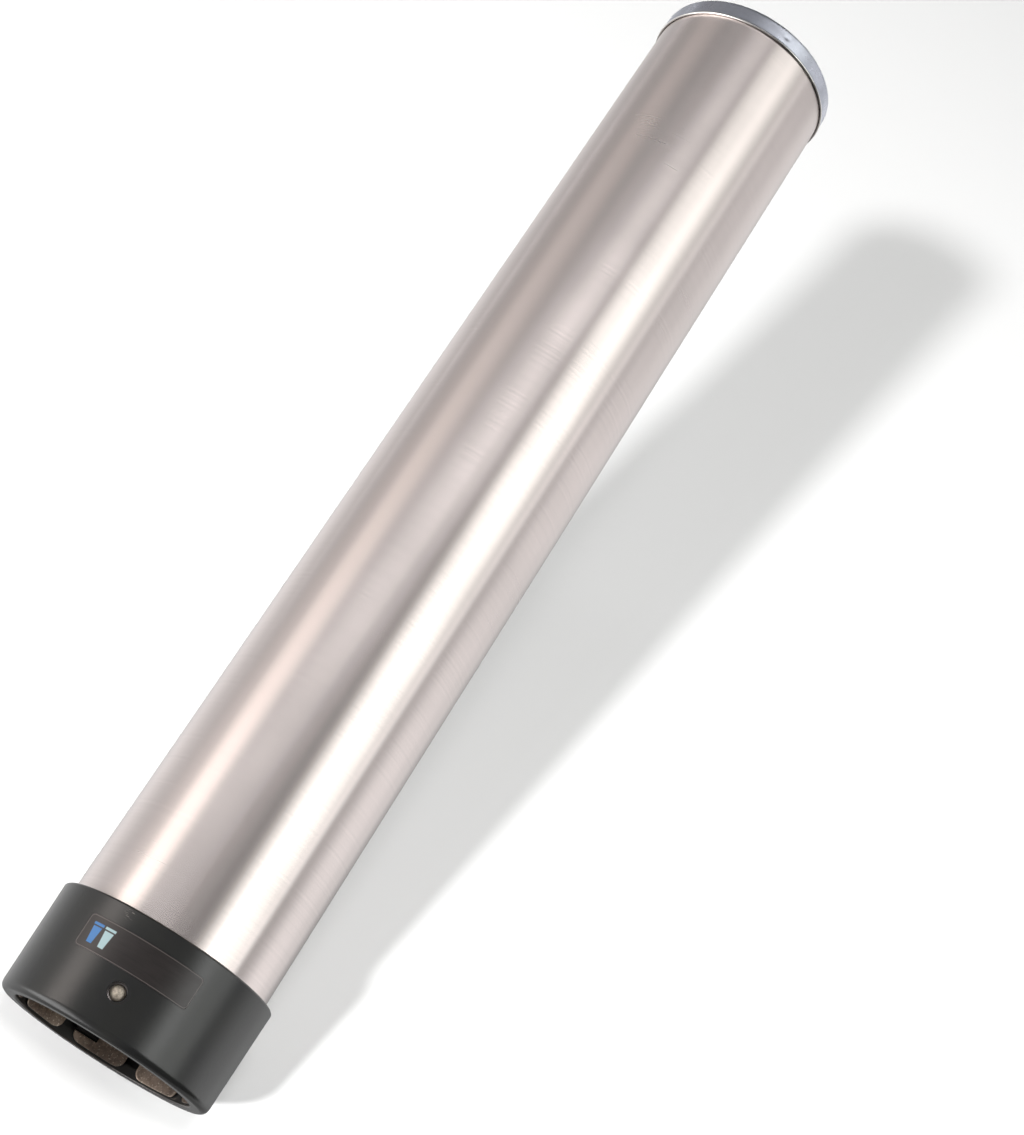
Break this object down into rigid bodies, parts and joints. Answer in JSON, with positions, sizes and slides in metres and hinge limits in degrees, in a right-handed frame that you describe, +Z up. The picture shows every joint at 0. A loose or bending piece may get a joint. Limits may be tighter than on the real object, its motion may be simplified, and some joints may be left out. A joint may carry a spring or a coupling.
{
  "type": "cup dispenser",
  "caption": "Gravity tube dispenser for disposable cups, with a lift-off cap, a press-in lock button and an adjustable throat of hinged steel fingers.",
  "frame": {"origin": "centre of the mouth, in the plane of the collar's rim, on the tube's axis", "axes": "+Z up along the tube from the mouth to the cap, -Y towards the front with the button, +X to the right seen from the front"},
  "size_m": [0.1046, 0.1046, 0.5974],
  "materials": {
    "tube_steel": "brushed across the tube",
    "cap_steel": "bright pressed sheet",
    "collar_plastic": "fine grain, satin",
    "sleeve_plastic": "moulded",
    "ring_plastic": "moulded",
    "finger_steel": "rolled strip",
    "pin_steel": "drawn wire",
    "spring_steel": "spring temper",
    "rivet_steel": "headed wire",
    "button_steel": "turned, domed",
    "band_rubber": "moulded ring"
  },
  "bodies": {
    "housing": {"tube": "tube_steel", "throat_collar": "collar_plastic", "cam_sleeve": "sleeve_plastic", "retaining_ring": "spring_steel", "button_spring": "spring_steel", "spring_rivet": "rivet_steel"},
    "cap": {"top_cap": "cap_steel"},
    "setting_ring": {"throat_ring": "ring_plastic", "finger_band": "band_rubber", "finger_pin_1": "pin_steel", "finger_pin_2": "pin_steel", "finger_pin_3": "pin_steel", "finger_pin_4": "pin_steel", "finger_pin_5": "pin_steel", "finger_pin_6": "pin_steel", "finger_pin_7": "pin_steel", "finger_pin_8": "pin_steel"},
    "button": {"snap_button": "button_steel"},
    "finger_1": {"finger_1": "finger_steel"},
    "finger_2": {"finger_2": "finger_steel"},
    "finger_3": {"finger_3": "finger_steel"},
    "finger_4": {"finger_4": "finger_steel"},
    "finger_5": {"finger_5": "finger_steel"},
    "finger_6": {"finger_6": "finger_steel"},
    "finger_7": {"finger_7": "finger_steel"},
    "finger_8": {"finger_8": "finger_steel"}
  },
  "joints": [
    {"name": "cap_lift", "type": "slide", "parent": "housing", "child": "cap", "axis": [0, 0, 1], "range_m": [0, 0.15]},
    {"name": "button_press", "type": "slide", "parent": "housing", "child": "button", "axis": [0, 1, 0], "range_m": [0, 0.0022], "stiffness_N_per_m": 1500, "springref_m": -0.001, "deforming": ["button_spring"]},
    {"name": "throat_turn", "type": "hinge", "parent": "housing", "child": "setting_ring", "pos_m": [0, 0, 0.0277], "axis": [0, 0, 1], "range_deg": [0, 30]},
    {"name": "finger_1_swing", "type": "hinge", "parent": "setting_ring", "child": "finger_1", "pos_m": [0.04258, 0.00905, 0.0277], "axis": [-0.2079, 0.9781, 0], "range_deg": [0, 10], "deforming": ["finger_band"]},
    {"name": "finger_2_swing", "type": "hinge", "parent": "setting_ring", "child": "finger_2", "pos_m": [0.02371, 0.03651, 0.0277], "axis": [-0.8387, 0.5446, 0], "range_deg": [0, 10]},
    {"name": "finger_3_swing", "type": "hinge", "parent": "setting_ring", "child": "finger_3", "pos_m": [-0.00905, 0.04258, 0.0277], "axis": [-0.9781, -0.2079, 0], "range_deg": [0, 10]},
    {"name": "finger_4_swing", "type": "hinge", "parent": "setting_ring", "child": "finger_4", "pos_m": [-0.03651, 0.02371, 0.0277], "axis": [-0.5446, -0.8387, 0], "range_deg": [0, 10]},
    {"name": "finger_5_swing", "type": "hinge", "parent": "setting_ring", "child": "finger_5", "pos_m": [-0.04258, -0.00905, 0.0277], "axis": [0.2079, -0.9781, 0], "range_deg": [0, 10]},
    {"name": "finger_6_swing", "type": "hinge", "parent": "setting_ring", "child": "finger_6", "pos_m": [-0.02371, -0.03651, 0.0277], "axis": [0.8387, -0.5446, 0], "range_deg": [0, 10]},
    {"name": "finger_7_swing", "type": "hinge", "parent": "setting_ring", "child": "finger_7", "pos_m": [0.00905, -0.04258, 0.0277], "axis": [0.9781, 0.2079, 0], "range_deg": [0, 10]},
    {"name": "finger_8_swing", "type": "hinge", "parent": "setting_ring", "child": "finger_8", "pos_m": [0.03651, -0.02371, 0.0277], "axis": [0.5446, 0.8387, 0], "range_deg": [0, 10]}
  ],
  "couplings": [
    {"joint": "finger_1_swing", "follows": "throat_turn", "ratio": 0.33333},
    {"joint": "finger_2_swing", "follows": "throat_turn", "ratio": 0.33333},
    {"joint": "finger_3_swing", "follows": "throat_turn", "ratio": 0.33333},
    {"joint": "finger_4_swing", "follows": "throat_turn", "ratio": 0.33333},
    {"joint": "finger_5_swing", "follows": "throat_turn", "ratio": 0.33333},
    {"joint": "finger_6_swing", "follows": "throat_turn", "ratio": 0.33333},
    {"joint": "finger_7_swing", "follows": "throat_turn", "ratio": 0.33333},
    {"joint": "finger_8_swing", "follows": "throat_turn", "ratio": 0.33333}
  ]
}
